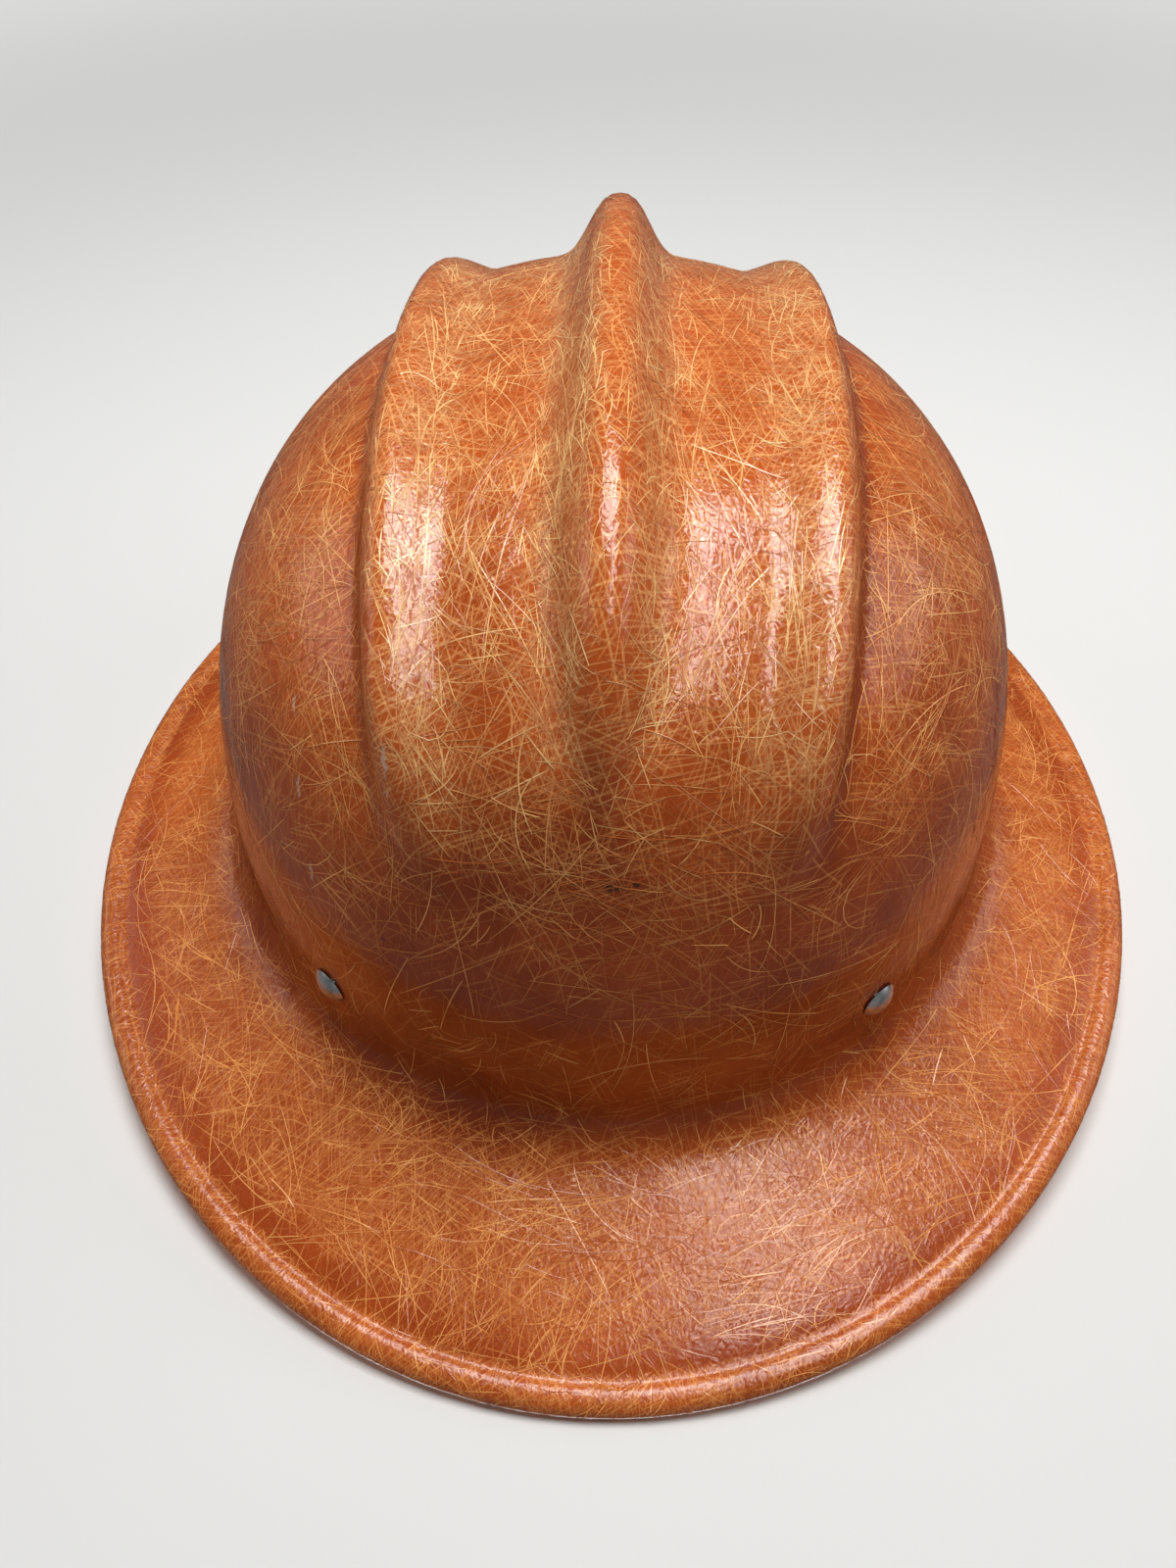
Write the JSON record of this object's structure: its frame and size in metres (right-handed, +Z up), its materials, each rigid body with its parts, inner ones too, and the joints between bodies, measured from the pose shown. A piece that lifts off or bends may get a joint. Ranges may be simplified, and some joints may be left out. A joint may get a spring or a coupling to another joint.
{
  "type": "full brim hard hat",
  "caption": "Full brim hard hat: a ribbed moulded shell with a beaded brim, over a riveted web cradle and an adjustable leather lined headband.",
  "frame": {"origin": "on the surface that the hat stands on, under the middle of the brim's bounding box", "axes": "+Z up through the crown, -Y towards the front of the hat, +X towards the left hand side seen from the front"},
  "size_m": [0.2852, 0.3275, 0.1656],
  "materials": {
    "shell": "glossy brown orange resin with visible golden glass fibres",
    "rivets": "bright domed heads, slightly worn",
    "washers": "plain stamped",
    "web": "woven cotton web, undyed",
    "lace": "braided cotton cord",
    "lace_tips": "crimped sleeve",
    "hangers": "satin bent strip",
    "headband": "vulcanised fibre, dull sheen",
    "loops": "satin bent strip",
    "sweatband": "smooth tan leather, stitched edge",
    "brass": "dulled brass",
    "nape_strap": "smooth leather strap"
  },
  "bodies": {
    "hat_shell": {"shell": "shell", "shell_rivets": "rivets", "rivet_washers": "washers", "strap_front_left": "web", "strap_front_right": "web", "strap_side_left": "web", "strap_side_right": "web", "strap_rear_left": "web", "strap_rear_right": "web", "crown_lace": "lace", "lace_tips": "lace_tips", "corner_hangers": "hangers", "side_hangers": "hangers"},
    "head_band": {"headband": "headband", "hook_loops": "loops", "sweatband": "sweatband", "sweatband_eyelets": "brass", "nape_studs": "brass"},
    "nape_slider": {"nape_strap": "nape_strap"},
    "nut_left": {"nape_nut_left": "brass"},
    "nut_right": {"nape_nut_right": "brass"}
  },
  "joints": [
    {"name": "headband_lift", "type": "slide", "parent": "hat_shell", "child": "head_band", "axis": [0, 0, 1], "range_m": [0, 0.012]},
    {"name": "nape_slide", "type": "hinge", "parent": "head_band", "child": "nape_slider", "pos_m": [0, 0.036, 0.03249], "axis": [0, 0, 1], "range_deg": [-7.5, 7.5]},
    {"name": "nut_left_turn", "type": "hinge", "parent": "head_band", "child": "nut_left", "pos_m": [-0.02403, 0.10387, 0.03249], "axis": [-0.3338, 0.9426, 0], "range_deg": [0, 360]},
    {"name": "nut_right_turn", "type": "hinge", "parent": "head_band", "child": "nut_right", "pos_m": [0.02403, 0.10387, 0.03249], "axis": [0.3338, 0.9426, 0], "range_deg": [0, 360]}
  ]
}
